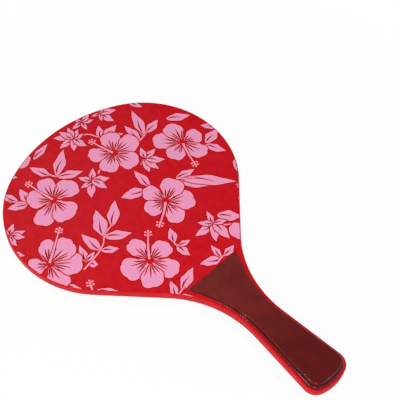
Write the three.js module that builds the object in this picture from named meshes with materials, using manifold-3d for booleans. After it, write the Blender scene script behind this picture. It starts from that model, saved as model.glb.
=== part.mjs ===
// A wooden beach racket: a five-ply board with a round head, two shaped grip scales and three dowels.
// Millimetres, +Z up. The racket lies flat, printed face up, with its handle towards +X.
import * as THREE from 'three';
import { mergeVertices } from 'three/addons/utils/BufferGeometryUtils.js';
import Module from 'manifold-3d';

const wasm = await Module();
wasm.setup();

const { degToRad } = THREE.MathUtils;

// Outline of the board
const overallLength = 375;
const headWidth = 242;
const crownRadius = 153;
const sideRadius = 94;
const shoulderAngle = degToRad(44.2);
const neckRadius = 104;
const waistWidth = 34.4;
const handleFlareAngle = degToRad(5);
const buttCornerRadius = 13;
const buttEndRadius = 45;

// Plies of the board and the round on its edge
const facePly = 1.6;
const crossbandPly = 1.6;
const corePly = 1.6;
const edgeRound = 1.2;

// Grip scale: outline
const scaleLength = 149;
const scaleEndMargin = 2.3;
const scaleWaistMargin = 2.9;
const scaleNeckRadius = 128;
const scaleFlareAngle = degToRad(5.7);
const scaleCornerRadius = 11;
const scaleEndRadius = 43;

// Grip scale: thickness along the handle, and the section of its wall at the butt
const scaleButtHeight = 6.8;
const scaleRise = 5;
const scaleRampLength = 46;
const scaleRampDrop = 1.4;
const footHeight = 0.4;
const beadRadius = 2;
const wallDraft = 1;
const wallEdgeRound = 0.6;

// Dowels that hold the scales
const dowelRadius = 2;
const dowelClearance = 0.3;
const dowelSkin = 0.7;
const dowelButtDistance = 24;
const dowelSpacing = 55;

// Smoothness of the curves
const crownSteps = 8;
const sideSteps = 20;
const neckSteps = 14;
const cornerSteps = 7;
const endSteps = 4;
const roundSteps = 4;
const beadSpan = degToRad(75);
const boreSides = 16;

// Places worked out from the sizes
const quarterTurn = Math.PI / 2;
const tipX = -overallLength / 2;
const buttX = overallLength / 2;
const boardThickness = 2 * facePly + 2 * crossbandPly + corePly;
const boardBottomZ = scaleButtHeight;
const boardTopZ = boardBottomZ + boardThickness;

// A station is a point of an outline with the direction that faces out of the piece there.
// An arc runs between two facing angles; a hollow arc has its centre outside the piece.
function arcStations({ x, y, radius, from, to, steps, hollow = false }) {
  const reach = hollow ? -radius : radius;
  return Array.from({ length: steps + 1 }, (_, step) => {
    const angle = THREE.MathUtils.lerp(from, to, step / steps);
    const out = new THREE.Vector2(Math.cos(angle), Math.sin(angle));
    return { x: x + reach * out.x, y: y + reach * out.y, out };
  });
}

// The butt of a handle side that leaves the hollow neck arc on a straight line at the flare angle:
// a corner arc that touches that line, then the shallow end arc.
function buttStations({ waistX, waistHalf, neck, flare, corner, end, endX }) {
  const lineFacing = quarterTurn + flare;
  const lineX = waistX + neck * Math.sin(flare);
  const lineY = waistHalf + neck * (1 - Math.cos(flare));
  const endCentreX = endX - end;
  const offsetX = lineX - corner * Math.cos(lineFacing) - endCentreX;
  const offsetY = lineY - corner * Math.sin(lineFacing);
  const along = offsetX * Math.cos(flare) + offsetY * Math.sin(flare);
  const away = offsetX * Math.sin(flare) - offsetY * Math.cos(flare);
  const run = Math.sqrt((end - corner) ** 2 - away ** 2) - along;
  const cornerX = endCentreX + offsetX + run * Math.cos(flare);
  const cornerY = offsetY + run * Math.sin(flare);
  const endFacing = Math.atan2(cornerY, cornerX - endCentreX);
  const cornerArc = {
    x: cornerX, y: cornerY, radius: corner, from: lineFacing, to: endFacing, steps: cornerSteps,
  };
  const endArc = { x: endCentreX, y: 0, radius: end, from: endFacing, to: 0, steps: endSteps };
  return [...arcStations(cornerArc), ...arcStations(endArc).slice(1)];
}

// Head: a wide crown arc runs into the side arc, and a straight shoulder leads from there to the neck arc.
const crownX = tipX + crownRadius;
const sideY = headWidth / 2 - sideRadius;
const sideX = crownX - Math.sqrt((crownRadius - sideRadius) ** 2 - sideY ** 2);
const crownFacing = Math.atan2(sideY, sideX - crownX);
const shoulderFacing = quarterTurn - shoulderAngle;
const neckY = waistWidth / 2 + neckRadius;
const shoulderStartX = sideX + sideRadius * Math.sin(shoulderAngle);
const shoulderStartY = sideY + sideRadius * Math.cos(shoulderAngle);
const shoulderEndY = neckY - neckRadius * Math.cos(shoulderAngle);
const shoulderEndX = shoulderStartX + (shoulderStartY - shoulderEndY) / Math.tan(shoulderAngle);
const waistX = shoulderEndX + neckRadius * Math.sin(shoulderAngle);

function boardStations() {
  const crown = {
    x: crownX, y: 0, radius: crownRadius, from: Math.PI, to: crownFacing, steps: crownSteps,
  };
  const side = {
    x: sideX, y: sideY, radius: sideRadius, from: crownFacing, to: shoulderFacing, steps: sideSteps,
  };
  const neck = {
    x: waistX, y: neckY, radius: neckRadius, from: shoulderFacing, to: quarterTurn + handleFlareAngle,
    steps: neckSteps, hollow: true,
  };
  const butt = buttStations({
    waistX, waistHalf: waistWidth / 2, neck: neckRadius, flare: handleFlareAngle,
    corner: buttCornerRadius, end: buttEndRadius, endX: buttX,
  });
  return [...arcStations(crown), ...arcStations(side).slice(1), ...arcStations(neck), ...butt];
}

// Scale: its front edge is straight across, and its sides follow a flatter neck arc than the board's,
// so the red margin widens from the waist to the flare.
const scaleEndX = buttX - scaleEndMargin;
const scaleFrontX = scaleEndX - scaleLength;
const scaleWaistHalf = waistWidth / 2 - scaleWaistMargin;

function scaleStations() {
  const frontFacing = quarterTurn - Math.asin((waistX - scaleFrontX) / scaleNeckRadius);
  const side = arcStations({
    x: waistX, y: scaleWaistHalf + scaleNeckRadius, radius: scaleNeckRadius,
    from: frontFacing, to: quarterTurn + scaleFlareAngle, steps: neckSteps, hollow: true,
  });
  const corner = side[0];
  const mitre = new THREE.Vector2(-1, (1 + corner.out.x) / corner.out.y);
  side[0] = { x: corner.x, y: corner.y, out: mitre };
  const butt = buttStations({
    waistX, waistHalf: scaleWaistHalf, neck: scaleNeckRadius, flare: scaleFlareAngle,
    corner: scaleCornerRadius, end: scaleEndRadius, endX: scaleEndX,
  });
  return [...side, ...butt];
}

// The wall of a scale leans in by its bead, draft and edge round.
const beadInset = beadRadius * (1 - Math.cos(beadSpan));
const wallInset = beadInset + wallDraft + wallEdgeRound;

// Thickness of a scale at a place along the handle: a straight rise to the upper edge at the butt,
// ramped down to the flare
function scaleHeight(x) {
  const fromEnd = Math.max(0, scaleEndX - wallInset - x) / scaleLength;
  const inRamp = Math.max(0, scaleFrontX + scaleRampLength - x) / scaleRampLength;
  return scaleButtHeight - scaleRise * fromEnd - scaleRampDrop * inRamp ** 2;
}

// Section of the scale's wall at full height, from the foot up: a low foot, a rounded bead,
// a steep drafted wall and a softened upper edge. Each point is an inset and a height.
function wallSection() {
  const points = [{ inset: 0, height: 0 }];
  for (let step = 0; step <= roundSteps; step += 1) {
    const turn = beadSpan * step / roundSteps;
    points.push({
      inset: beadRadius * (1 - Math.cos(turn)),
      height: footHeight + beadRadius * Math.sin(turn),
    });
  }
  for (let step = 0; step <= roundSteps; step += 1) {
    const turn = quarterTurn * step / roundSteps;
    points.push({
      inset: beadInset + wallDraft + wallEdgeRound * (1 - Math.cos(turn)),
      height: scaleButtHeight - wallEdgeRound * (1 - Math.sin(turn)),
    });
  }
  return points;
}

// Closed loop of stations, anticlockwise from above: the drawn side, then its mirror image.
function mirrored(stations) {
  const below = stations.filter((station) => station.y > 0).map((station) => ({
    x: station.x, y: -station.y, out: new THREE.Vector2(station.out.x, -station.out.y),
  }));
  return [...stations.slice().reverse(), ...below];
}

// Side walls between rings of points that all have the same count
function wallFaces(ringCount, count, first = 0) {
  const faces = [];
  for (let ring = 0; ring < ringCount - 1; ring += 1) {
    for (let i = 0; i < count; i += 1) {
      const a = first + ring * count + i;
      const b = first + ring * count + (i + 1) % count;
      faces.push([a, b, b + count], [a, b + count, a + count]);
    }
  }
  return faces;
}

function closedGeometry(points, faces) {
  const geometry = new THREE.BufferGeometry();
  geometry.setAttribute('position', new THREE.Float32BufferAttribute(points.flat(), 3));
  geometry.setIndex(faces.flat());
  return geometry;
}

// A flat sheet with the outline of the board, its edge drawn in by the insets of its levels,
// and round bores through it.
function sheetGeometry(loop, levels, bores) {
  const points = levels.flatMap(({ z, inset }) => loop.map(({ x, y, out }) => (
    [x - inset * out.x, y - inset * out.y, z])));
  const faces = wallFaces(levels.length, loop.length);
  const lowRing = loop.map((_, i) => i);
  const highRing = lowRing.map((i) => i + (levels.length - 1) * loop.length);
  const lowHoles = [];
  const highHoles = [];
  for (const bore of bores) {
    const first = points.length;
    for (const z of [levels[0].z, levels.at(-1).z]) {
      for (let i = 0; i < boreSides; i += 1) {
        const turn = -2 * Math.PI * i / boreSides;
        points.push([bore.x + bore.radius * Math.cos(turn), bore.radius * Math.sin(turn), z]);
      }
    }
    faces.push(...wallFaces(2, boreSides, first));
    lowHoles.push(Array.from({ length: boreSides }, (_, i) => first + i));
    highHoles.push(Array.from({ length: boreSides }, (_, i) => first + boreSides + i));
  }
  const flat = (indices) => indices.map((i) => new THREE.Vector2(points[i][0], points[i][1]));
  const cap = (ring, holes) => {
    const indices = [...ring, ...holes.flat()];
    return THREE.ShapeUtils.triangulateShape(flat(ring), holes.map(flat))
      .map((face) => face.map((i) => indices[i]));
  };
  faces.push(...cap(highRing, highHoles));
  faces.push(...cap(lowRing, lowHoles).map(([a, b, c]) => [c, b, a]));
  return closedGeometry(points, faces);
}

// A grip scale lofted up from its flat underside. Its wall section shrinks with the thickness,
// and both caps are laid in strips across the handle.
function scaleGeometry() {
  const stations = scaleStations();
  const loop = mirrored(stations);
  const section = wallSection();
  const points = section.flatMap(({ inset, height }) => loop.map(({ x, y, out }) => {
    const share = scaleHeight(x) / scaleButtHeight;
    const movedX = x - inset * share * out.x;
    return [movedX, y - inset * share * out.y, height * scaleHeight(movedX) / scaleButtHeight];
  }));
  const faces = wallFaces(section.length, loop.length);
  const last = stations.length - 1;
  const cap = (first) => {
    const strips = [[first, first + 1, first + loop.length - 1]];
    for (let i = 1; i < last; i += 1) {
      const near = first + loop.length - i;
      strips.push([first + i, first + i + 1, near - 1], [first + i, near - 1, near]);
    }
    return strips;
  };
  faces.push(...cap((section.length - 1) * loop.length));
  faces.push(...cap(0).map(([a, b, c]) => [c, b, a]));
  return closedGeometry(points, faces);
}

// Solids for cutting
function toSolid(geometry) {
  const bare = geometry.clone();
  bare.deleteAttribute('normal');
  bare.deleteAttribute('uv');
  const merged = mergeVertices(bare);
  return new wasm.Manifold(new wasm.Mesh({
    numProp: 3,
    vertProperties: new Float32Array(merged.attributes.position.array),
    triVerts: new Uint32Array(merged.index.array),
  }));
}

function fromSolid(solid) {
  const mesh = solid.getMesh();
  const geometry = new THREE.BufferGeometry();
  geometry.setAttribute('position', new THREE.BufferAttribute(mesh.vertProperties, 3));
  geometry.setIndex(new THREE.BufferAttribute(mesh.triVerts, 1));
  return geometry;
}

// Dowels: each runs through the board into blind bores in both scales
const dowels = ['dowel_butt', 'dowel_waist', 'dowel_flare'].map((name, i) => {
  const x = scaleEndX - dowelButtDistance - i * dowelSpacing;
  const boreDepth = scaleHeight(x - dowelRadius - dowelClearance) - dowelSkin;
  return { name, x, boreDepth, length: boardThickness + 2 * (boreDepth - dowelClearance) };
});

function uprightCylinder(radius, bottomZ, height, x) {
  const cylinder = new THREE.CylinderGeometry(radius, radius, height, boreSides);
  cylinder.rotateX(quarterTurn);
  cylinder.translate(x, 0, bottomZ + height / 2);
  return cylinder;
}

function boredScale() {
  let solid = toSolid(scaleGeometry());
  for (const { x, boreDepth } of dowels) {
    const drill = uprightCylinder(dowelRadius + dowelClearance, -boreDepth, 2 * boreDepth, x);
    solid = solid.subtract(toSolid(drill));
  }
  return fromSolid(solid);
}

// The same scale turned over for the back: the mirrored faces are turned to point outwards again.
function backOf(geometry) {
  const turned = geometry.clone().scale(1, 1, -1);
  const index = turned.index.array;
  for (let i = 0; i < index.length; i += 3) {
    [index[i], index[i + 1]] = [index[i + 1], index[i]];
  }
  return turned;
}

function shifted(geometry, z) {
  const position = geometry.attributes.position;
  for (let i = 0; i < position.count; i += 1) {
    position.setZ(i, position.getZ(i) + z);
  }
  return geometry;
}

// Materials
const redLacquer = () => new THREE.MeshStandardMaterial({ color: 0xd2202a, roughness: 0.35, metalness: 0 });
const brownVarnish = () => new THREE.MeshStandardMaterial({ color: 0x5a1a16, roughness: 0.25, metalness: 0 });
const bareBeech = () => new THREE.MeshStandardMaterial({ color: 0xd9b07c, roughness: 0.7, metalness: 0 });

const group = new THREE.Group();

function addPiece(name, geometry, material) {
  geometry.computeVertexNormals();
  const mesh = new THREE.Mesh(geometry, material);
  mesh.name = name;
  group.add(mesh);
}

// Board: five plies, the outer two with the rounded edge of the board
const boardLoop = mirrored(boardStations());
const bores = dowels.map(({ x }) => ({ x, radius: dowelRadius + dowelClearance }));
const roundedEdge = Array.from({ length: roundSteps + 1 }, (_, step) => {
  const turn = quarterTurn * step / roundSteps;
  return {
    inset: edgeRound * (1 - Math.cos(turn)),
    drop: edgeRound * (1 - Math.sin(turn)),
  };
});
const backFaceTopZ = boardBottomZ + facePly;
const backCrossbandTopZ = backFaceTopZ + crossbandPly;
const coreTopZ = backCrossbandTopZ + corePly;
const frontCrossbandTopZ = coreTopZ + crossbandPly;
const plies = {
  face_ply_back: [
    ...roundedEdge.slice().reverse().map(({ inset, drop }) => ({ inset, z: boardBottomZ + drop })),
    { inset: 0, z: backFaceTopZ },
  ],
  crossband_back: [{ inset: 0, z: backFaceTopZ }, { inset: 0, z: backCrossbandTopZ }],
  core_ply: [{ inset: 0, z: backCrossbandTopZ }, { inset: 0, z: coreTopZ }],
  crossband_front: [{ inset: 0, z: coreTopZ }, { inset: 0, z: frontCrossbandTopZ }],
  face_ply_front: [
    { inset: 0, z: frontCrossbandTopZ },
    ...roundedEdge.map(({ inset, drop }) => ({ inset, z: boardTopZ - drop })),
  ],
};
for (const [name, levels] of Object.entries(plies)) {
  addPiece(name, sheetGeometry(boardLoop, levels, bores), redLacquer());
}

// Scales, one on each face of the handle
const scale = boredScale();
addPiece('grip_scale_front', shifted(scale.clone(), boardTopZ), brownVarnish());
addPiece('grip_scale_back', shifted(backOf(scale), boardBottomZ), brownVarnish());

for (const { name, x, length } of dowels) {
  const bottomZ = (boardBottomZ + boardTopZ - length) / 2;
  addPiece(name, uprightCylinder(dowelRadius, bottomZ, length, x), bareBeech());
}

export default group;
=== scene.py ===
import math
import random

import bpy
import numpy as np
from mathutils import Matrix, Vector
from mathutils.geometry import delaunay_2d_cdt


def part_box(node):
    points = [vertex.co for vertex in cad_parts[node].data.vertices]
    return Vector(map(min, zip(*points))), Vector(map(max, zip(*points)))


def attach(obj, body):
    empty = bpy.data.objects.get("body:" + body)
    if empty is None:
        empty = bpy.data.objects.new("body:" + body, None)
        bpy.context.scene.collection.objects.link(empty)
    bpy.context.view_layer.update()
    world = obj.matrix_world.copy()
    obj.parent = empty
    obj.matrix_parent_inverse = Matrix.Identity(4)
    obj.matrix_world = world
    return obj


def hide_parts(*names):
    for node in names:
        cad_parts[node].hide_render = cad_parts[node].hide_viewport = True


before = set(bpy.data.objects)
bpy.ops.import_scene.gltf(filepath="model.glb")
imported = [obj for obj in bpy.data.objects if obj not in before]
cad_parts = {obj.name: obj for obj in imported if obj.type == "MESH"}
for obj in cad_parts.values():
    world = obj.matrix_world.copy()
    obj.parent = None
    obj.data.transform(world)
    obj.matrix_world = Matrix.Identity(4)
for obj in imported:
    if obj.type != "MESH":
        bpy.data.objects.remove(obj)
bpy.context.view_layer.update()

mm = 0.001
tiny = 1e-9
scene = bpy.context.scene
print("frame loaded:", len(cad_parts), "nodes")


# Shader maths: an expression on Values adds its Math nodes.
class Value:
    def __init__(self, tree, socket):
        self.tree = tree
        self.socket = socket

    def math(self, operation, other=None, swap=False):
        node = self.tree.nodes.new("ShaderNodeMath")
        node.operation = operation
        pair = [self, other] if not swap else [other, self]
        for slot, item in zip(node.inputs, pair):
            if isinstance(item, Value):
                self.tree.links.new(item.socket, slot)
            elif item is not None:
                slot.default_value = item
        return Value(self.tree, node.outputs[0])

    def __add__(self, other):
        return self.math("ADD", other)

    def __radd__(self, other):
        return self.math("ADD", other, swap=True)

    def __sub__(self, other):
        return self.math("SUBTRACT", other)

    def __rsub__(self, other):
        return self.math("SUBTRACT", other, swap=True)

    def __mul__(self, other):
        return self.math("MULTIPLY", other)

    def __rmul__(self, other):
        return self.math("MULTIPLY", other, swap=True)


def linear(red, green, blue):
    # a colour as it reads on screen, 0 to 255, in linear light
    shares = (red / 255, green / 255, blue / 255)
    return tuple(c / 12.92 if c <= 0.04045 else ((c + 0.055) / 1.055) ** 2.4 for c in shares) + (1.0,)


# A material's nodes: one method adds any node from its type, settings and sockets.
class Paint:
    def __init__(self, name):
        self.material = bpy.data.materials.new(name)
        self.material.use_nodes = True
        self.tree = self.material.node_tree
        self.shader = self.tree.nodes["Principled BSDF"]

    def plug(self, socket, item):
        if isinstance(item, Value):
            self.tree.links.new(item.socket, socket)
        else:
            socket.default_value = item

    def node(self, kind, settings=None, sockets=None, output=0):
        node = self.tree.nodes.new(kind)
        for name, setting in (settings or {}).items():
            setattr(node, name, setting)
        for name, item in (sockets or {}).items():
            self.plug(node.inputs[name], item)
        return Value(self.tree, node.outputs[output])

    def blend(self, factor, first, second):
        settings = {"data_type": "RGBA", "clamp_factor": True}
        return self.node("ShaderNodeMix", settings, {0: factor, 6: first, 7: second}, output=2)

    def ramp(self, factor, low, high):
        sockets = {"Value": factor, "From Min": low, "From Max": high}
        return self.node("ShaderNodeMapRange", {"interpolation_type": "SMOOTHSTEP"}, sockets)

    def place(self, stretch=(1, 1, 1)):
        spot = self.node("ShaderNodeTexCoord", output=3)
        return self.node("ShaderNodeMapping", None, {"Vector": spot, "Scale": stretch})

    def noise(self, scale, detail=2, roughness=0.5, stretch=(1, 1, 1)):
        sockets = {"Vector": self.place(stretch), "Scale": scale, "Detail": detail, "Roughness": roughness}
        return self.node("ShaderNodeTexNoise", None, sockets)

    def bump(self, height, depth):
        sockets = {"Height": height, "Distance": depth, "Strength": 1.0}
        return self.node("ShaderNodeBump", None, sockets)

    def finish(self, **sockets):
        for name, item in sockets.items():
            self.plug(self.shader.inputs[name.replace("_", " ")], item)
        return self.material


# Outline of a piece: arcs that touch each other, told by the way they face.
def arc(x, y, radius, start, stop, steps, hollow=False):
    reach = -radius if hollow else radius
    points = []
    for step in range(steps + 1):
        angle = start + (stop - start) * step / steps
        out = (math.cos(angle), math.sin(angle))
        points.append((x + reach * out[0], y + reach * out[1], out[0], out[1]))
    return points


def buttArcs(waistX, half, neck, flare, corner, end, endX, steps):
    facing = math.pi / 2 + flare
    lineX = waistX + neck * math.sin(flare)
    lineY = half + neck * (1 - math.cos(flare))
    centreX = endX - end
    offX = lineX - corner * math.cos(facing) - centreX
    offY = lineY - corner * math.sin(facing)
    along = offX * math.cos(flare) + offY * math.sin(flare)
    away = offX * math.sin(flare) - offY * math.cos(flare)
    run = math.sqrt((end - corner) ** 2 - away ** 2) - along
    cornerX = centreX + offX + run * math.cos(flare)
    cornerY = offY + run * math.sin(flare)
    endFacing = math.atan2(cornerY, cornerX - centreX)
    turn = arc(cornerX, cornerY, corner, facing, endFacing, steps)
    return turn + arc(centreX, 0, end, endFacing, 0, steps // 2)[1:]


def evened(points, spacing):
    # points put in along the straight stretches, so that the mesh is even
    out = [points[0]]
    for a, b in zip(points, points[1:]):
        count = max(1, round(math.hypot(b[0] - a[0], b[1] - a[1]) / spacing))
        for i in range(1, count + 1):
            out.append(tuple(p + (q - p) * i / count for p, q in zip(a, b)))
    return out


def mirrored(points):
    return points[::-1] + [(x, -y, nx, -ny) for x, y, nx, ny in points if y > tiny]


board = {
    "crownRadius": 153 * mm,
    "sideRadius": 94 * mm,
    "shoulderAngle": math.radians(44.2),
    "neckRadius": 104 * mm,
    "waistHalf": 17.2 * mm,
    "flareAngle": math.radians(5),
    "cornerRadius": 13 * mm,
    "endRadius": 45 * mm,
    "edgeRound": 1.2 * mm,
    "spacing": 2.5 * mm,
    # how finely each arc is cut; the side has one count before its widest place and one after it
    "crownSteps": 24,
    "sideSteps": (38, 26),
    "neckSteps": 40,
    "buttSteps": 16,
    "roundSteps": 6,
    "creaseAngle": 25,
    "plies": ["face_ply_front", "crossband_front", "core_ply", "crossband_back", "face_ply_back"],
}
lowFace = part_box("face_ply_back")[0]
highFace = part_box("face_ply_front")[1]
board["bottomZ"], board["topZ"] = lowFace[2], highFace[2]
board["tipX"], board["buttX"], board["half"] = lowFace[0], highFace[0], highFace[1]

crownX = board["tipX"] + board["crownRadius"]
sideY = board["half"] - board["sideRadius"]
sideX = crownX - math.sqrt((board["crownRadius"] - board["sideRadius"]) ** 2 - sideY ** 2)
crownFacing = math.atan2(sideY, sideX - crownX)
neckY = board["waistHalf"] + board["neckRadius"]
shoulderX = sideX + board["sideRadius"] * math.sin(board["shoulderAngle"])
shoulderY = sideY + board["sideRadius"] * math.cos(board["shoulderAngle"])
shoulderFall = shoulderY - neckY + board["neckRadius"] * math.cos(board["shoulderAngle"])
neckStartX = shoulderX + shoulderFall / math.tan(board["shoulderAngle"])
waistX = neckStartX + board["neckRadius"] * math.sin(board["shoulderAngle"])


def boardOutline():
    shoulderFacing = math.pi / 2 - board["shoulderAngle"]
    neckEnd = math.pi / 2 + board["flareAngle"]
    sideSteps, shoulderSteps = board["sideSteps"]
    points = arc(crownX, 0, board["crownRadius"], math.pi, crownFacing, board["crownSteps"])
    points += arc(sideX, sideY, board["sideRadius"], crownFacing, math.pi / 2, sideSteps)[1:]
    points += arc(sideX, sideY, board["sideRadius"], math.pi / 2, shoulderFacing, shoulderSteps)[1:]
    points += arc(
        waistX, neckY, board["neckRadius"], shoulderFacing, neckEnd, board["neckSteps"], hollow=True,
    )
    points += buttArcs(
        waistX, board["waistHalf"], board["neckRadius"], board["flareAngle"],
        board["cornerRadius"], board["endRadius"], board["buttX"], board["buttSteps"],
    )
    return mirrored(evened(points, board["spacing"]))


# The print: a common beach pattern of hibiscus flowers, small star flowers and leaf sprays.
# Its shapes are drawn on the flat as (ink, outline) pairs, later ones over earlier ones.
printInks = {
    # each ink's material, its two colours and how soft the mottling between them is
    "ground": ("red_print", (192, 12, 26), (199, 20, 33), 0.5),
    "rim": ("salmon_print", (255, 143, 160), (250, 150, 168), 0.5),
    "fill": ("pink_print", (238, 150, 187), (229, 152, 192), 0.3),
    "dark": ("maroon_print", (130, 0, 38), (122, 2, 44), 0.5),
    "shade": ("shade_print", (158, 0, 26), (150, 2, 32), 0.5),
}
inks = list(printInks) + ["edge"]
brushes = {
    "petalRim": 1.35 * mm,
    "leafRim": 1.0 * mm,
    "shadeWidth": 0.95 * mm,
    "veinWidth": 1.5 * mm,
    "veinHalo": 1.2 * mm,
    "stamenWidth": 2.6 * mm,
    "armLength": 3.0 * mm,
    "armWidth": 0.8 * mm,
    "dotRadius": 1.05 * mm,
    "ribRim": 2.4 * mm,
    "ribWidth": 1.5 * mm,
    "stemWidth": 1.75 * mm,
    "stemShade": (0.8 * mm, 0.4 * mm),
    "starMiddle": 1.1 * mm,
}


def turned(points, x, y, angle):
    c, s = math.cos(angle), math.sin(angle)
    return [(x + c * px - s * py, y + s * px + c * py) for px, py in points]


def grown(points, by):
    # an outline moved outwards along its own normals
    pts = np.array(points)
    ahead = np.roll(pts, -1, axis=0) - np.roll(pts, 1, axis=0)
    size = np.maximum(np.hypot(ahead[:, 0], ahead[:, 1]), tiny)
    out = np.stack([ahead[:, 1], -ahead[:, 0]], 1) / size[:, None]
    area = np.sum(pts[:, 0] * np.roll(pts[:, 1], -1) - pts[:, 1] * np.roll(pts[:, 0], -1))
    return [tuple(p) for p in pts + out * by * (1 if area > 0 else -1)]


def sides(path, half):
    # the two sides of a band of the given half widths along a path
    pts = np.array(path)
    ahead = np.gradient(pts, axis=0)
    across = np.stack([-ahead[:, 1], ahead[:, 0]], 1) / np.hypot(ahead[:, 0], ahead[:, 1])[:, None]
    across = across * np.asarray(half)[:, None]
    return [tuple(p) for p in np.concatenate([pts + across, (pts - across)[::-1]])]


def band(path, startWidth, endWidth):
    return sides(path, np.linspace(startWidth / 2, endWidth / 2, len(path)))


def brush(path, width, tip=0.12, bulge=0.6):
    # a stroke that is thickest before its middle and thin at both ends
    share = np.linspace(0, 1, len(path))
    return sides(path, width / 2 * (tip + (1 - tip) * np.sin(math.pi * share ** bulge)))


def disc(x, y, radius, count=10):
    angles = [2 * math.pi * i / count for i in range(count)]
    return [(x + radius * math.cos(a), y + radius * math.sin(a)) for a in angles]


def layered(shapes, outline, rim):
    shapes.append(("shade", grown(outline, brushes["shadeWidth"])))
    shapes.append(("rim", outline))
    shapes.append(("fill", grown(outline, -rim)))


petalForm = {
    "steps": 17,
    # the foot and the widest place, as shares of the length from the flower's middle
    "foot": 0.08,
    "widest": 0.66,
    # the share of the steps that goes round the broad end, and how square that end is
    "endShare": 0.62,
    "endPower": 0.9,
    # the foot's width as a share, and how slowly the sides swell from it
    "footWidth": 0.09,
    "footPower": 1.5,
    "lean": 0.1,
    # the angles of the notches between scallops, as seen from a point inside the petal
    "notches": ((-1.3, -0.4, 0.4, 1.3), (-1.2, 0, 1.2), (-1.3, -0.5, 0.7), (-0.8, 0.3, 1.3)),
    "notchDrift": 0.15,
    "notchReach": 2.1,
    "seenFrom": 0.55,
    # the scallops: their depth and shape, and where along the petal they start
    "scallop": 0.055,
    "scallopPower": 0.6,
    "scallopSink": 0.5,
    "scallopStart": 0.4,
    # the salmon foot over the petal, as a share of its size
    "innerShare": 0.42,
}


def petalOutline(length, half, rng):
    # a narrow foot at the flower's middle, and a broad end of shallow scallops between notches
    drift, reach = petalForm["notchDrift"], petalForm["notchReach"]
    notches = [at + rng.uniform(-drift, drift) for at in rng.choice(petalForm["notches"])]
    lean = rng.uniform(-petalForm["lean"], petalForm["lean"])
    foot, widest, endShare = petalForm["foot"], petalForm["widest"], petalForm["endShare"]
    footWidth, steps = petalForm["footWidth"], petalForm["steps"]
    points = []
    for i in range(-steps, steps + 1):
        s = i / steps
        if abs(s) < endShare:
            turn = s / endShare * math.pi / 2
            t = widest + (1 - widest) * max(0, math.cos(turn)) ** petalForm["endPower"]
            w = math.copysign(abs(math.sin(turn)) ** petalForm["endPower"], turn)
        else:
            t = foot + (widest - foot) * (1 - abs(s)) / (1 - endShare)
            share = min(1, (t - foot) / (widest - foot))
            swell = math.sin(math.pi / 2 * share) ** petalForm["footPower"]
            w = math.copysign(footWidth + (1 - footWidth) * swell, s)
        x, y = t * length, w * half
        facing = math.atan2(y, x - petalForm["seenFrom"] * length)
        for low, high in zip([-reach] + notches, notches + [reach]):
            if low <= facing < high and t > petalForm["scallopStart"]:
                bulge = math.sin(math.pi * (facing - low) / (high - low)) ** petalForm["scallopPower"]
                bulge -= petalForm["scallopSink"]
                x += bulge * petalForm["scallop"] * length * math.cos(facing)
                y += bulge * petalForm["scallop"] * length * math.sin(facing)
        points.append((x, y + lean * x * x / length))
    return points


veinForm = {
    "places": (-1.5, -0.5, 0.5, 1.5),
    "spread": 0.23,
    "spreadDrift": 0.05,
    # how far a vein runs, as a share of the petal, and what the outer ones lose
    "reach": 0.68,
    "reachLoss": 0.07,
    "reachDrift": (0.86, 1.08),
    "curl": 0.2,
    "curlDrift": 0.07,
    "start": 0.06,
    "steps": 12,
    "widthDrift": (0.8, 1.15),
    # first point, thickness at the ends and place of the thickest part, of the halo and the stroke
    "halo": (3, 0.3, 0.8),
    "stroke": (1, 0.2, 0.85),
    # the red ray's last point and how it tapers
    "ray": (5, 0.4),
}


def veins(shapes, x, y, facing, length, rng):
    # each vein leaves the flower's middle as a red ray and runs on as a dark stroke
    haloFrom, haloTip, haloBulge = veinForm["halo"]
    strokeFrom, strokeTip, strokeBulge = veinForm["stroke"]
    rayTo, rayTaper = veinForm["ray"]
    drift, curlDrift, steps = veinForm["spreadDrift"], veinForm["curlDrift"], veinForm["steps"]
    for k in veinForm["places"]:
        spread = k * veinForm["spread"] + rng.uniform(-drift, drift)
        share = veinForm["reach"] - veinForm["reachLoss"] * abs(k)
        reach = length * share * rng.uniform(*veinForm["reachDrift"])
        curl = spread * veinForm["curl"] + rng.uniform(-curlDrift, curlDrift)
        start = length * veinForm["start"]
        path = []
        for i in range(steps + 1):
            radius = start + (reach - start) * i / steps
            angle = spread + curl * i / steps
            path.append((radius * math.cos(angle), radius * math.sin(angle)))
        path = turned(path, x, y, facing)
        stroke = brushes["veinWidth"] * rng.uniform(*veinForm["widthDrift"])
        shapes.append(("rim", brush(path[haloFrom:], stroke + brushes["veinHalo"], haloTip, haloBulge)))
        shapes.append(("dark", brush(path[strokeFrom:], stroke, strokeTip, strokeBulge)))
        shapes.append(("ground", band(path[:rayTo], stroke, stroke * rayTaper)))


stamenForm = {
    "steps": 7,
    # the dark lines on both sides: how far out they lie and how they taper, as shares of the width
    "lineShift": 0.3,
    "lineTaper": 0.35,
    "taper": 0.5,
    # each arm: how far behind the tip it leaves, and its angle
    "arms": ((2.6 * mm, -1.2), (2.6 * mm, 1.2), (0, -1.0), (0, 1.0), (0, 0)),
    "armBend": 0.4,
}


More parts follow.
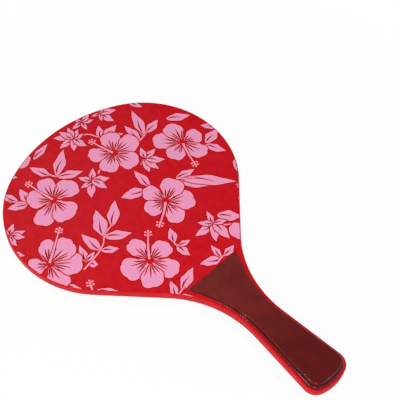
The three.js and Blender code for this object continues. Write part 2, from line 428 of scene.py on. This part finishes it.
def stamen(shapes, x, y, length, facing, bow, start=0.03):
    steps = stamenForm["steps"]
    path = []
    for i in range(steps + 1):
        t = start + (1 - start) * i / steps
        path.append((length * t, bow * length * math.sin(math.pi * t)))
    width, arm, armWidth = brushes["stamenWidth"], brushes["armLength"], brushes["armWidth"]
    for shift in (-stamenForm["lineShift"], stamenForm["lineShift"]):
        beside = [(px, py + shift * width) for px, py in path]
        line = band(beside, width, width * stamenForm["lineTaper"])
        shapes.append(("dark", turned(line, x, y, facing)))
    shapes.append(("rim", turned(band(path, width, width * stamenForm["taper"]), x, y, facing)))
    for back, spread in stamenForm["arms"]:
        root = length - back
        endX, endY = root + arm * math.cos(spread), arm * math.sin(spread)
        middle = ((root + endX) / 2, endY * stamenForm["armBend"])
        stalk = [(root - armWidth, 0), middle, (endX, endY)]
        shapes.append(("rim", turned(band(stalk, armWidth, armWidth), x, y, facing)))
        shapes.append(("rim", turned(disc(endX, endY, brushes["dotRadius"]), x, y, facing)))


flowerForm = {
    "middleShare": 0.085,
    "stamenBow": 0.04,
}


def hibiscus(shapes, x, y, petals, stamenFacing, stamenLength, seed):
    rng = random.Random(seed)
    inner = petalForm["innerShare"]
    for degrees, length, half in petals:
        facing = math.radians(degrees)
        outline = petalOutline(length * mm, half * mm, rng)
        layered(shapes, turned(outline, x, y, facing), brushes["petalRim"])
        foot = [(inner * px, inner * py) for px, py in outline]
        shapes.append(("rim", turned(foot, x, y, facing)))
        veins(shapes, x, y, facing, length * mm, rng)
    size = sum(length for _, length, _ in petals) / len(petals) * mm
    shapes.append(("ground", disc(x, y, flowerForm["middleShare"] * size)))
    bow = rng.uniform(-flowerForm["stamenBow"], flowerForm["stamenBow"])
    stamen(shapes, x, y, stamenLength * mm, math.radians(stamenFacing), bow)


leafForm = {
    "steps": 17,
    # where a leaf is broadest, how full it is, and how much slimmer its tip gets
    "broadPower": 0.85,
    "fullPower": 0.9,
    "tipLoss": 0.25,
    "tipPower": 4,
    "rimShare": 0.3,
    # the waves of its two sides: their depth, and their number
    "wave": 0.1,
    "waveTurns": (4.5, 3.5),
    # the midrib
    "ribStart": 0.08,
    "ribSteps": 5,
    "ribWave": 0.04,
    "ribTip": 0.3,
}


def leaf(shapes, x, y, tipX, tipY, half, bow=0.0, veinEnd=0.62):
    # from its foot to its pointed tip, its two sides a little wavy, with one dark midrib
    length, facing = math.hypot(tipX - x, tipY - y), math.atan2(tipY - y, tipX - x)
    broad, full, steps = leafForm["broadPower"], leafForm["fullPower"], leafForm["steps"]
    shares = [i / steps for i in range(steps + 1)]
    spine = [(length * t, bow * length * math.sin(math.pi * t)) for t in shares]
    swell = [
        max(0, math.sin(math.pi * t ** broad)) ** full * (1 - leafForm["tipLoss"] * t ** leafForm["tipPower"])
        for t in shares
    ]
    waves = [
        [1 + leafForm["wave"] * math.sin(turns * math.pi * t + facing) for t in shares]
        for turns in leafForm["waveTurns"]
    ]
    upper = [(px, py + half * w * wave) for (px, py), w, wave in zip(spine, swell, waves[0])]
    lower = [(px, py - half * w * wave) for (px, py), w, wave in zip(spine, swell, waves[1])]
    rim = min(brushes["leafRim"], leafForm["rimShare"] * half)
    layered(shapes, turned(upper + lower[-2:0:-1], x, y, facing), rim)
    ribStart, ribSteps = leafForm["ribStart"], leafForm["ribSteps"]
    rib = []
    for i in range(ribSteps + 1):
        t = ribStart + (veinEnd - ribStart) * i / ribSteps
        bend = bow * length * math.sin(math.pi * t)
        wave = leafForm["ribWave"] * length * math.sin(2 * math.pi * t)
        rib.append((length * t, bend + wave))
    shapes.append(("rim", turned(brush(rib, brushes["ribRim"], leafForm["ribTip"]), x, y, facing)))
    shapes.append(("dark", turned(brush(rib, brushes["ribWidth"]), x, y, facing)))


starForm = {
    "halfShare": (0.19, 0.23),
    "bow": 0.05,
    "veinEnd": 0.55,
    "middlePoints": 6,
}


def starFlower(shapes, x, y, petals, seed):
    rng = random.Random(seed)
    for degrees, length in petals:
        facing = math.radians(degrees)
        tipX, tipY = x + length * mm * math.cos(facing), y + length * mm * math.sin(facing)
        half = length * mm * rng.uniform(*starForm["halfShare"])
        bow = rng.uniform(-starForm["bow"], starForm["bow"])
        leaf(shapes, x, y, tipX, tipY, half, bow=bow, veinEnd=starForm["veinEnd"])
    shapes.append(("ground", disc(x, y, brushes["starMiddle"], starForm["middlePoints"])))


stemForm = {
    "parts": 3,
    "smoothings": 2,
    "taper": 0.7,
}


def stem(shapes, path):
    # a smooth stalk through a few points
    parts = stemForm["parts"]
    points = [
        tuple(p + (q - p) * k / parts for p, q in zip(a, b))
        for a, b in zip(path, path[1:]) for k in range(parts)
    ]
    points = np.array(points + [path[-1]])
    for _ in range(stemForm["smoothings"]):
        points[1:-1] = (points[:-2] + 2 * points[1:-1] + points[2:]) / 4
    width = brushes["stemWidth"]
    startShade, endShade = brushes["stemShade"]
    shapes.append(("shade", band(points, width + startShade, width + endShade)))
    shapes.append(("rim", band(points, width, width * stemForm["taper"])))


# Where the motifs lie, in millimetres from the head's middle with +X to the handle, angles in degrees.
layout = {
    "middleX": -70.1 * mm,
    # points nearer to each other than this, in metres, become one
    "joinDistance": 1e-7,
    # the random seed of the first star flower and of the first hibiscus
    "starSeed": 40,
    "hibiscusSeed": 70,
    # where a stamen whose flower lies off the board begins, as a share of its length
    "cutStamenStart": 0.2,
    # x, y, petals as (angle, length, half width), the stamen's angle and length
    "hibiscus": [
        (0, -105, [(-116, 19, 9), (-17, 29, 10), (46, 30, 11.5), (96, 31, 11), (152, 26, 7.5)], 127, 37),
        (-53, -57, [(-132, 25, 10), (-58, 31, 9.5), (97, 28, 11), (163, 27, 8.5), (0, 27, 13)], -169, 31),
        (59, -35, [(20, 29, 10), (180, 27, 8.5), (-102, 28, 12), (-31, 29, 10.5), (95, 25, 9.5)], 140, 29),
        (21, 21, [(-10, 27, 9), (-164, 25, 8.5), (-98, 22, 9), (57, 28, 11), (117, 28, 11.5)], -55, 27),
        (-57, 23, [(152, 26, 10), (83, 29, 10.5), (-120, 25, 8.5), (17, 27, 10.5), (-57, 24, 9.5)], -165, 26),
        (-20, 83, [(-139, 30, 10), (82, 22, 9), (12, 27, 9), (-69, 23, 9.5), (166, 27, 9.5)], -19, 29),
        (-126, -44, [(-20, 25, 9)], 200, 5),
        (104, 62, [(-128, 26, 9)], 60, 5),
        (84, 92, [(-128, 24, 9)], 60, 5),
    ],
    # x, y, angle, length of a stamen whose flower lies off the board
    "stamens": [(60, -100, 155, 21), (66, 95, -145, 12)],
    # x, y, petals as (angle, length)
    "stars": [
        (-49, -113, [(125, 14), (68, 16), (40, 15), (-8, 14), (190, 12), (-95, 12)]),
        (-46, -15, [(-41, 21), (-90, 14), (-146, 14), (135, 15), (56, 18), (16, 18)]),
        (-98, 5, [(-133, 20), (-87, 18), (-37, 16), (14, 17), (80, 12), (118, 13), (162, 16), (197, 17)]),
        (70, 37, [(-92, 23), (-37, 21), (-2, 23), (62, 14), (160, 15), (-135, 15)]),
        (-31, 42, [(-68, 10), (-29, 18), (3, 19), (43, 20), (97, 16), (157, 14)]),
        (-109, 25, [(-85, 13), (-10, 12), (63, 13), (103, 13), (200, 10)]),
        (-105, 46, [(14, 18), (65, 18), (-110, 9), (-30, 10), (130, 12)]),
    ],
    "stems": [
        [(26, -86), (24, -75), (21, -63), (17, -54), (11, -49), (8, -42), (6, -33)],
        [(-66, -74), (-72, -83), (-82, -90)],
        [(-80, -41), (-74, -39), (-71, -34)],
        [(105, -45), (103, -38), (101, -30)],
        [(60, -5), (64, -6), (66, -4)],
        [(-96, 14), (-92, 21), (-84, 24), (-78, 28)],
        [(-50, 47), (-52, 57), (-55, 67)],
        [(-48, -5), (-51, 0), (-54, 6)],
        [(103, 12), (102, 17), (103, 21)],
        [(78, 43), (82, 48), (84, 54)],
        [(10, 50), (14, 54), (20, 62)],
    ],
    # foot x, foot y, tip x, tip y, half width
    "leaves": [
        (22, -79, 3, -72, 3.6), (24, -78, 31, -73, 3.8), (21, -78, 18, -66, 2.6),
        (21, -61, -5, -63, 5.2), (21, -61, 31, -47, 3.8),
        (11, -49, -17, -35, 6.6), (12, -49, 26, -27, 5.2), (8, -36, -13, -14, 5.6),
        (-66, -77, -74, -96, 4.8), (-66, -76, -85, -73, 4.6), (-74, -83, -94, -92, 4),
        (-78, -41, -99, -50, 4.6), (-73, -37, -94, -11, 5.6), (-71, -37, -60, -14, 4.8),
        (-104, -41, -110, -18, 3.6),
        (104, -43, 88, -36, 3.6), (102, -35, 92, -11, 5.2), (105, -43, 114, -32, 3),
        (61, -5, 46, 3, 4.2), (65, -6, 81, -4, 4.2), (66, -5, 69, 8, 3),
        (103, 15, 94, -4, 4.8), (102, 16, 86, 18, 3.2), (103, 19, 101, 34, 3.6),
        (-3, 15, -11, -8, 6), (-2, 22, -27, 23, 4.6),
        (-80, 26, -94, 35, 3.8), (-79, 28, -82, 49, 4.6), (-78, 28, -69, 47, 4.6),
        (-52, 54, -76, 54, 4.4), (-54, 59, -67, 70, 3.6), (-54, 62, -86, 73, 5.2), (-54, 65, -59, 85, 4.6),
        (8, 47, 12, 69, 4.2), (12, 47, 36, 65, 5), (12, 51, 51, 89, 6),
        (66, 46, 83, 63, 6), (-54, 92, -41, 114, 5),
        (-4, 100, -9, 122, 5.6), (-3, 98, 17, 108, 4.6), (-12, 124, -24, 112, 4),
        (-33, -124, -22, -116, 3), (-106, -72, -97, -66, 3), (50, -92, 68, -76, 3.6),
        (26, -110, 41, -100, 3), (-96, 78, -82, 85, 3), (30, 108, 42, 98, 3),
    ],
}


def printShapes():
    shapes = []
    for foot in layout["leaves"]:
        leaf(shapes, *[value * mm for value in foot])
    for path in layout["stems"]:
        stem(shapes, [(x * mm, y * mm) for x, y in path])
    for seed, (x, y, petals) in enumerate(layout["stars"]):
        starFlower(shapes, x * mm, y * mm, petals, layout["starSeed"] + seed)
    for seed, (x, y, petals, facing, length) in enumerate(layout["hibiscus"]):
        hibiscus(shapes, x * mm, y * mm, petals, facing, length, layout["hibiscusSeed"] + seed)
    start = layout["cutStamenStart"]
    for x, y, facing, length in layout["stamens"]:
        stamen(shapes, x * mm, y * mm, length * mm, math.radians(facing), 0, start=start)
    return [(ink, [(px + layout["middleX"], py) for px, py in outline]) for ink, outline in shapes]


def inside(points, outline):
    # which of the points lie in the outline, by counting crossings
    hit = np.zeros(len(points), bool)
    x, y = points[:, 0], points[:, 1]
    ax, ay = outline[:, 0], outline[:, 1]
    bx, by = np.roll(ax, -1), np.roll(ay, -1)
    for i in range(len(outline)):
        if ay[i] == by[i]:
            continue
        spans = (ay[i] > y) != (by[i] > y)
        hit ^= spans & (x < ax[i] + (y - ay[i]) * (bx[i] - ax[i]) / (by[i] - ay[i]))
    return hit


def printedFace(outline):
    # the flat face cut along every printed shape: points, triangles and the ink of each triangle
    shapes = printShapes()
    points = [Vector(p) for p in outline]
    edges = [(i, (i + 1) % len(outline)) for i in range(len(outline))]
    for _, shape in shapes:
        first = len(points)
        points += [Vector(p) for p in shape]
        edges += [(first + i, first + (i + 1) % len(shape)) for i in range(len(shape))]
    flat, _, faces, _, _, _ = delaunay_2d_cdt(points, edges, [], 0, layout["joinDistance"], False)
    flat = np.array([tuple(p) for p in flat])
    faces = np.array([f for f in faces if len(f) == 3])
    middle = flat[faces].mean(axis=1)
    faces = faces[inside(middle, np.array(outline))]
    middle = flat[faces].mean(axis=1)
    ink = np.zeros(len(faces), int)
    for name, shape in shapes:
        shape = np.array(shape)
        low, high = shape.min(axis=0), shape.max(axis=0)
        near = np.where(np.all((middle > low) & (middle < high), axis=1))[0]
        if len(near):
            ink[near[inside(middle[near], shape)]] = inks.index(name)
    return flat, faces, ink


def rimLoop(faces):
    # the outer edge of the face, in order, anticlockwise
    step = {}
    for a, b, c in faces:
        for p, q in ((a, b), (b, c), (c, a)):
            if (q, p) in step:
                del step[(q, p)]
            else:
                step[(p, q)] = True
    following = dict(step.keys())
    start = next(iter(following))
    loop = [start]
    while following[loop[-1]] != start:
        loop.append(following[loop[-1]])
    return loop


def newMesh(name, vertices, faces, materials, slots=None, creaseAngle=None):
    # flat faces, or smooth ones with creases where they meet at more than the angle, in degrees
    mesh = bpy.data.meshes.new(name)
    mesh.from_pydata([tuple(v) for v in vertices], [], [tuple(int(i) for i in f) for f in faces])
    for material in materials:
        mesh.materials.append(material)
    if slots is not None:
        mesh.polygons.foreach_set("material_index", slots)
    mesh.validate()
    if creaseAngle is not None:
        mesh.shade_smooth()
        mesh.set_sharp_from_angle(angle=math.radians(creaseAngle))
    piece = bpy.data.objects.new(name, mesh)
    scene.collection.objects.link(piece)
    return piece


printFinish = {
    "roughness": 0.4,
    "clothRoughness": 0.08,
    "patch": {"scale": 160, "detail": 3},
    "cloth": {"scale": 35, "stretch": (0.25, 1, 1)},
    "grain": {"scale": 900, "stretch": (0.05, 1, 1)},
    "patchShare": 0.75,
    "grainDepth": 0.02 * mm,
    "gloss": 0.045,
}


def printInk(name, colour, second, mottle):
    paint = Paint(name)
    patch = paint.ramp(paint.noise(**printFinish["patch"]), 0.5 - mottle / 4, 0.5 + mottle / 4)
    cloth = paint.noise(**printFinish["cloth"])
    grain = paint.noise(**printFinish["grain"])
    share = printFinish["patchShare"]
    tone = paint.blend(patch * share + cloth * (1 - share), linear(*colour), linear(*second))
    return paint.finish(
        Base_Color=tone,
        Roughness=printFinish["roughness"] + printFinish["clothRoughness"] * cloth,
        Normal=paint.bump(grain, printFinish["grainDepth"]),
        Specular_IOR_Level=printFinish["gloss"],
    )


edgeFinish = {
    "colours": ((207, 31, 36), (196, 25, 31)),
    "patch": {"scale": 90},
    "patchRange": (0.35, 0.65),
    "pores": {"scale": 700, "detail": 3, "stretch": (0.3, 0.3, 1)},
    "plyThickness": 1.6 * mm,
    "plyShare": 0.5,
    "depth": 0.012 * mm,
    "roughness": 0.38,
    "poreRoughness": 0.1,
    "gloss": 0.06,
    "coat": 0.06,
    "coatRoughness": 0.25,
}


def edgeLacquer():
    # lacquer over the cut edge: the plies show through as faint lines
    paint = Paint("red_edge_lacquer")
    place = paint.node("ShaderNodeTexCoord", output=3)
    height = paint.node("ShaderNodeSeparateXYZ", None, {"Vector": place}, output=2)
    lines = (height * (2 * math.pi / edgeFinish["plyThickness"])).math("SINE")
    pores = paint.noise(**edgeFinish["pores"])
    patch = paint.ramp(paint.noise(**edgeFinish["patch"]), *edgeFinish["patchRange"])
    first, second = edgeFinish["colours"]
    return paint.finish(
        Base_Color=paint.blend(patch, linear(*first), linear(*second)),
        Roughness=edgeFinish["roughness"] + edgeFinish["poreRoughness"] * pores,
        Normal=paint.bump(pores + edgeFinish["plyShare"] * lines, edgeFinish["depth"]),
        Specular_IOR_Level=edgeFinish["gloss"],
        Coat_Weight=edgeFinish["coat"],
        Coat_Roughness=edgeFinish["coatRoughness"],
    )


def buildBoard():
    outline = boardOutline()
    inset = board["edgeRound"]
    flat, faces, ink = printedFace([(x - nx * inset, y - ny * inset) for x, y, nx, ny in outline])
    loop = rimLoop(faces)
    rim = flat[loop]
    ahead = np.roll(rim, -1, axis=0) - np.roll(rim, 1, axis=0)
    out = np.stack([ahead[:, 1], -ahead[:, 0]], 1) / np.hypot(ahead[:, 0], ahead[:, 1])[:, None]

    used = np.unique(faces)
    place = {old: new for new, old in enumerate(used)}
    count = len(used)
    top = [(x, y, board["topZ"]) for x, y in flat[used]]
    bottom = [(x, y, board["bottomZ"]) for x, y in flat[used]]
    vertices = top + bottom
    quads = []
    slots = list(ink) + list(ink)
    topFaces = [[place[i] for i in f] for f in faces]
    bottomFaces = [[count + place[i] for i in f[::-1]] for f in faces]

    rings = [[place[i] for i in loop]]
    levels = []
    steps = board["roundSteps"]
    turns = [math.pi / 2 * k / steps for k in range(1, steps + 1)]
    for turn in turns:
        levels.append((inset * math.sin(turn), board["topZ"] - inset * (1 - math.cos(turn))))
    for turn in turns[::-1]:
        levels.append((inset * math.sin(turn), board["bottomZ"] + inset * (1 - math.cos(turn))))
    for outward, z in levels:
        first = len(vertices)
        vertices += [(x, y, z) for x, y in rim + out * outward]
        rings.append(list(range(first, first + len(loop))))
    rings.append([count + place[i] for i in loop])
    for upper, lower in zip(rings, rings[1:]):
        for i in range(len(loop)):
            j = (i + 1) % len(loop)
            quads.append([upper[j], upper[i], lower[i], lower[j]])
    slots += [inks.index("edge")] * len(quads)
    materials = [printInk(*look) for look in printInks.values()] + [edgeLacquer()]
    faces = topFaces + bottomFaces + quads
    piece = newMesh("board", vertices, faces, materials, slots, creaseAngle=board["creaseAngle"])
    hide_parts(*board["plies"])
    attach(piece, "root")
    print("board:", len(topFaces), "printed triangles,", len(loop), "points round the edge")


scale = {
    "length": 149 * mm,
    "waistMargin": 2.9 * mm,
    "neckRadius": 128 * mm,
    "flareAngle": math.radians(5.7),
    "cornerRadius": 11 * mm,
    "endRadius": 43 * mm,
    "rise": 5 * mm,
    "rampLength": 46 * mm,
    "rampDrop": 1.4 * mm,
    "footHeight": 0.4 * mm,
    "beadRadius": 2 * mm,
    "beadSpan": math.radians(75),
    "wallDraft": 0.8 * mm,
    "edgeRound": 1.2 * mm,
    "spacing": 1.5 * mm,
    "neckSteps": 60,
    "buttSteps": 16,
    "beadSteps": 8,
    "roundSteps": 6,
    "columns": 18,
    "creaseAngle": 50,
    "dimpleRadius": 2.2 * mm,
    "dimpleDepth": 0.22 * mm,
    "dowels": ["dowel_butt", "dowel_waist", "dowel_flare"],
}
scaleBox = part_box("grip_scale_front")
scale["endX"] = scaleBox[1][0]
scale["height"] = scaleBox[1][2] - board["topZ"]
scale["frontX"] = scale["endX"] - scale["length"]
beadInset = scale["beadRadius"] * (1 - math.cos(scale["beadSpan"]))
wallInset = beadInset + scale["wallDraft"] + scale["edgeRound"]


def scaleHeight(x):
    fromEnd = max(0, scale["endX"] - wallInset - x) / scale["length"]
    inRamp = max(0, scale["frontX"] + scale["rampLength"] - x) / scale["rampLength"]
    return scale["height"] - scale["rise"] * fromEnd - scale["rampDrop"] * inRamp ** 2


def scaleSide():
    half = board["waistHalf"] - scale["waistMargin"]
    radius = scale["neckRadius"]
    start = math.pi / 2 - math.asin((waistX - scale["frontX"]) / radius)
    stop = math.pi / 2 + scale["flareAngle"]
    points = arc(waistX, half + radius, radius, start, stop, scale["neckSteps"], hollow=True)
    x, y, nx, ny = points[0]
    points[0] = (x, y, -1, (1 + nx) / ny)
    points += buttArcs(
        waistX, half, radius, scale["flareAngle"],
        scale["cornerRadius"], scale["endRadius"], scale["endX"], scale["buttSteps"],
    )
    return evened(points, scale["spacing"])


def wallSection():
    # from the foot up, as (inset, height): a rounded bead, a steep wall and a softened upper edge
    points = [(0, 0)]
    beadSteps, roundSteps = scale["beadSteps"], scale["roundSteps"]
    for k in range(beadSteps + 1):
        turn = scale["beadSpan"] * k / beadSteps
        points.append((
            scale["beadRadius"] * (1 - math.cos(turn)),
            scale["footHeight"] + scale["beadRadius"] * math.sin(turn),
        ))
    for k in range(roundSteps + 1):
        turn = math.pi / 2 * k / roundSteps
        points.append((
            beadInset + scale["wallDraft"] + scale["edgeRound"] * (1 - math.cos(turn)),
            scale["height"] - scale["edgeRound"] * (1 - math.sin(turn)),
        ))
    return points


def dowelPlaces():
    return [(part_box(node)[0][0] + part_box(node)[1][0]) / 2 for node in scale["dowels"]]


def scaleMesh(name, flip, material):
    side = scaleSide()
    loop = mirrored(side)
    last = len(side) - 1
    vertices = []
    for inset, height in wallSection():
        for x, y, nx, ny in loop:
            lean = inset * scaleHeight(x) / scale["height"]
            moved = x - lean * nx
            shrink = scaleHeight(moved) / scale["height"]
            vertices.append([moved, y - lean * ny, height * shrink])
    faces = []
    count = len(loop)
    rings = len(vertices) // count
    for ring in range(rings - 1):
        for i in range(count):
            if i == last and ring in (0, rings - 2):
                continue
            a, b = ring * count + i, ring * count + (i + 1) % count
            faces.append([a, b, b + count, a + count])
    topFirst = (rings - 1) * count
    dowelX = dowelPlaces()

    def rung(first, k):
        # a row of points across the handle, from +Y to -Y, between two points of the rim
        left, right = first + k, first + count - k
        if k == 0:
            return [first]
        row = [left]
        for column in range(1, scale["columns"]):
            share = column / scale["columns"]
            x, y, z = [p + (q - p) * share for p, q in zip(vertices[left], vertices[right])]
            if first:
                sink = sum(
                    math.exp(-((x - at) ** 2 + y ** 2) / scale["dimpleRadius"] ** 2) for at in dowelX
                )
                z -= scale["dimpleDepth"] * sink
            vertices.append([x, y, z])
            row.append(len(vertices) - 1)
        return row + [right]

    def cap(first, up):
        rows = [rung(first, k) for k in range(last + 1)]
        for a, b in zip(rows, rows[1:]):
            if len(a) == 1:
                strip = [[a[0], b[i], b[i + 1]] for i in range(len(b) - 1)]
            else:
                strip = [[a[i], b[i], b[i + 1], a[i + 1]] for i in range(len(a) - 1)]
            faces.extend(strip if up else [face[::-1] for face in strip])
        return rows[-1]

    # the wall's lowest and highest faces at the front take up the caps' many points there
    topRow = cap(topFirst, True)
    lowRow = cap(0, False)
    faces.append(lowRow + [last + 1 + count, last + count])
    faces.append([topFirst - count + last, topFirst - count + last + 1] + topRow[::-1])
    base = board["bottomZ"] if flip else board["topZ"]
    sign = -1 if flip else 1
    vertices = [(x, y, base + sign * z) for x, y, z in vertices]
    if flip:
        faces = [face[::-1] for face in faces]
    return newMesh(name, vertices, faces, [material], creaseAngle=scale["creaseAngle"])


varnishFinish = {
    # the wood's two colours at the flare and along the handle, those of its clouds and spots, and the darker
    # flat red of its walls, which is painted shade
    "flare": ((96, 19, 17), (119, 33, 27)),
    "handle": ((74, 3, 4), (102, 11, 11)),
    "cloud": (66, 3, 4),
    # painted shade: the walls and bead take this darker flat red in place of the top's wood colours
    "wall": (84, 2, 3),
    "spot": (66, 26, 30),
    # where the flare's colours give way to the handle's
    "toHandle": (70 * mm, 150 * mm),
    "cloudShare": 0.4,
    "clouds": {"scale": 60, "detail": 4, "roughness": 0.6},
    "cloudRange": (0.35, 0.7),
    "streaks": {"scale": 260, "detail": 5, "roughness": 0.6, "stretch": (0.12, 1, 1)},
    "spotShare": 0.4,
    "spotFade": (1.2 * mm, 3 * mm),
    "roughness": 0.36,
    "cloudRoughness": 0.16,
    "ripples": {"scale": 70},
    "rippleDepth": 0.01 * mm,
    "gloss": 0.05,
    # how level a face is where it takes the flat top's colour instead of the walls' painted shade, and where
    # its coat sets in
    "topRange": (0.5, 0.95),
    "coatRange": (0.3, 0.55),
    "coatLeast": 0.1,
    "topDulling": 0.85,
    "coatRoughness": 0.1,
}


def gripVarnish():
    # stained hardwood under glossy varnish: streaks along the handle, redder and darker to the butt, with
    # painted shade on the walls
    look = varnishFinish
    paint = Paint("grip_varnish")
    place = paint.node("ShaderNodeTexCoord", output=3)
    along = paint.node("ShaderNodeSeparateXYZ", None, {"Vector": place}, output=0)
    flatPlace = paint.node("ShaderNodeMapping", None, {"Vector": place, "Scale": (1, 1, 0)})
    toHandle = paint.ramp(along, *look["toHandle"])
    streak = paint.noise(**look["streaks"])
    cloud = paint.ramp(paint.noise(**look["clouds"]), *look["cloudRange"])
    flare, handle = [
        paint.blend(streak, linear(*first), linear(*second))
        for first, second in (look["flare"], look["handle"])
    ]
    tone = paint.blend(toHandle, flare, handle)
    tone = paint.blend(cloud * look["cloudShare"], tone, linear(*look["cloud"]))
    facing = paint.node("ShaderNodeTexCoord", output=1)
    level = paint.node("ShaderNodeSeparateXYZ", None, {"Vector": facing}, output=2).math("ABSOLUTE")
    top = paint.ramp(level, *look["topRange"])
    # painted shade: faces that are not level, the walls and bead, get the darker wall red
    tone = paint.blend(top, linear(*look["wall"]), tone)
    share = look["spotShare"]
    for x in dowelPlaces():
        ends = {0: flatPlace, 1: (x, 0, 0)}
        apart = paint.node("ShaderNodeVectorMath", {"operation": "DISTANCE"}, ends, output=1)
        spot = share - share * paint.ramp(apart, *look["spotFade"])
        tone = paint.blend(spot, tone, linear(*look["spot"]))
    least = look["coatLeast"]
    coat = least + (1 - least) * paint.ramp(level, *look["coatRange"])
    return paint.finish(
        Base_Color=tone,
        Roughness=look["roughness"] + look["cloudRoughness"] * cloud,
        Normal=paint.bump(paint.noise(**look["ripples"]), look["rippleDepth"]),
        Specular_IOR_Level=look["gloss"],
        Coat_Weight=coat * (1 - look["topDulling"] * top),
        Coat_Roughness=look["coatRoughness"],
    )


def buildScales():
    varnish = gripVarnish()
    pair = (("gripFront", "grip_scale_front", False), ("gripBack", "grip_scale_back", True))
    for name, node, flip in pair:
        piece = scaleMesh(name, flip, varnish)
        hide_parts(node)
        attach(piece, "root")
    print("grip scales built")


beechFinish = {
    "colours": ((214, 172, 122), (184, 136, 88)),
    "rays": {"scale": 500, "detail": 4, "stretch": (1, 1, 0.1)},
    "roughness": 0.6,
    "rayRoughness": 0.15,
    "depth": 0.05 * mm,
}


def beech():
    paint = Paint("bare_beech")
    rays = paint.noise(**beechFinish["rays"])
    first, second = beechFinish["colours"]
    return paint.finish(
        Base_Color=paint.blend(rays, linear(*first), linear(*second)),
        Roughness=beechFinish["roughness"] + beechFinish["rayRoughness"] * rays,
        Normal=paint.bump(rays, beechFinish["depth"]),
    )


def dressDowels():
    wood = beech()
    for node in scale["dowels"]:
        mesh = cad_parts[node].data
        mesh.materials.clear()
        mesh.materials.append(wood)
    print("dowels dressed")


stage = {
    "size": 4.0,
    "shadowShare": 0.08,
    "shadowFade": (0.2, 0.42),
    "floorColour": (0.85, 0.85, 0.85, 1),
    "floorRoughness": 0.9,
    "gap": 0.1 * mm,
}


def seenRays(tree):
    # 1 for the rays that show the white surroundings: the camera's, and those of gloss and glass
    path = tree.nodes.new("ShaderNodeLightPath")
    seen = Value(tree, path.outputs["Is Camera Ray"])
    for name in ("Is Glossy Ray", "Is Transmission Ray"):
        seen = seen.math("MAXIMUM", Value(tree, path.outputs[name]))
    return seen


def stageMaterial():
    # pale floor that reads white to the camera and keeps a light shadow near the racket
    paint = Paint("pale_floor")
    paint.finish(Base_Color=stage["floorColour"], Roughness=stage["floorRoughness"])
    glow = paint.node("ShaderNodeEmission", None, {"Color": (1, 1, 1, 1), "Strength": 1.0})
    seen = seenRays(paint.tree)
    spot = paint.node("ShaderNodeTexCoord", output=3)
    apart = paint.node("ShaderNodeVectorMath", {"operation": "LENGTH"}, {0: spot}, output=1)
    shadow = stage["shadowShare"] * (1 - paint.ramp(apart, *stage["shadowFade"]))
    diffuse = Value(paint.tree, paint.shader.outputs[0])
    mix = paint.node("ShaderNodeMixShader", None, {0: seen * (1 - shadow), 1: diffuse, 2: glow})
    paint.tree.links.new(mix.socket, paint.tree.nodes["Material Output"].inputs["Surface"])
    return paint.material


def buildFloor():
    # the racket leans on the far rim of its head and the butt of its back scale
    rest = scale["endX"] - wallInset
    rim = board["tipX"] + board["edgeRound"]
    slope = board["bottomZ"] / (rest - rim)
    half = stage["size"] / 2
    corners = [(-half, -half), (half, -half), (half, half), (-half, half)]
    vertices = [(x, y, (rest - x) * slope - stage["gap"]) for x, y in corners]
    floor = newMesh("floor", vertices, [[0, 1, 2, 3]], [stageMaterial()])
    print("floor laid")


def areaLight(name, spot, target, upward, size, power):
    light = bpy.data.lights.new(name, "AREA")
    light.shape = "RECTANGLE"
    light.size, light.size_y = size
    light.energy = power
    back = (spot - target).normalized()
    side = upward.cross(back).normalized()
    lamp = bpy.data.objects.new(name, light)
    turn = Matrix((side, back.cross(side), back)).transposed()
    lamp.matrix_world = Matrix.Translation(spot) @ turn.to_4x4()
    scene.collection.objects.link(lamp)


studio = {
    "skyShare": 0.32,
    # each lamp's place, its target, the way its height runs, its width and height, and its power
    "lamps": {
        "mainBox": ((0.453, -0.382, 0.477), (0.17, -0.02, 0.017), (0, 0, 1), (0.14, 0.14), 1.7),
        "flareBox": ((0.065, -0.56, 0.32), (0.075, -0.03, 0.017), (-0.06, 0.48, 0.875), (0.07, 0.16), 0.65),
        "buttStrip": ((-0.028, -0.56, 0.29), (0.16, -0.02, 0.017), (-0.06, 0.48, 0.875), (0.03, 0.16), 0.5),
        "endBox": ((0.4, 0.25, 0.6), (0.184, 0, 0.017), (0, 0, 1), (0.16, 0.16), 1.3),
        "leftBox": ((-0.53, 0.12, 0.73), (-0.1, 0, 0), (0, 0, 1), (0.3, 0.3), 2.2),
    },
}


def light():
    world = bpy.data.worlds.new("studio")
    scene.world = world
    world.use_nodes = True
    tree = world.node_tree
    background = tree.nodes["Background"]
    seen = seenRays(tree)
    share = studio["skyShare"]
    tree.links.new((seen * (1 - share) + share).socket, background.inputs["Strength"])
    background.inputs["Color"].default_value = (1, 1, 1, 1)
    for name, (spot, target, upward, size, power) in studio["lamps"].items():
        areaLight(name, Vector(spot), Vector(target), Vector(upward), size, power)
    print("lights set")


camera = {
    "focus": 923.3,
    "azimuth": math.radians(-48),
    "elevation": math.radians(55),
    "roll": math.radians(4.45),
    "distance": 903.1 * mm,
    "target": (-31.5 * mm, 50.7 * mm, 6.8 * mm),
    "frameWidth": 400,
    "sensorWidth": 36,
}


def setCamera():
    data = bpy.data.cameras.new("view")
    data.sensor_width = camera["sensorWidth"]
    data.lens = camera["focus"] * data.sensor_width / camera["frameWidth"]
    azimuth, elevation = camera["azimuth"], camera["elevation"]
    back = Vector((
        math.cos(azimuth) * math.cos(elevation),
        math.sin(azimuth) * math.cos(elevation),
        math.sin(elevation),
    ))
    right = Vector((-math.sin(azimuth), math.cos(azimuth), 0))
    up = back.cross(right)
    tilt = camera["roll"]
    right, up = right * math.cos(tilt) + up * math.sin(tilt), up * math.cos(tilt) - right * math.sin(tilt)
    turn = Matrix((right, up, back)).transposed()
    view = bpy.data.objects.new("view", data)
    spot = Vector(camera["target"]) + back * camera["distance"]
    view.matrix_world = Matrix.Translation(spot) @ turn.to_4x4()
    scene.collection.objects.link(view)
    scene.camera = view
    print("camera set")


setCamera()
buildBoard()
buildScales()
dressDowels()
buildFloor()
light()
scene.view_settings.view_transform = "Standard"
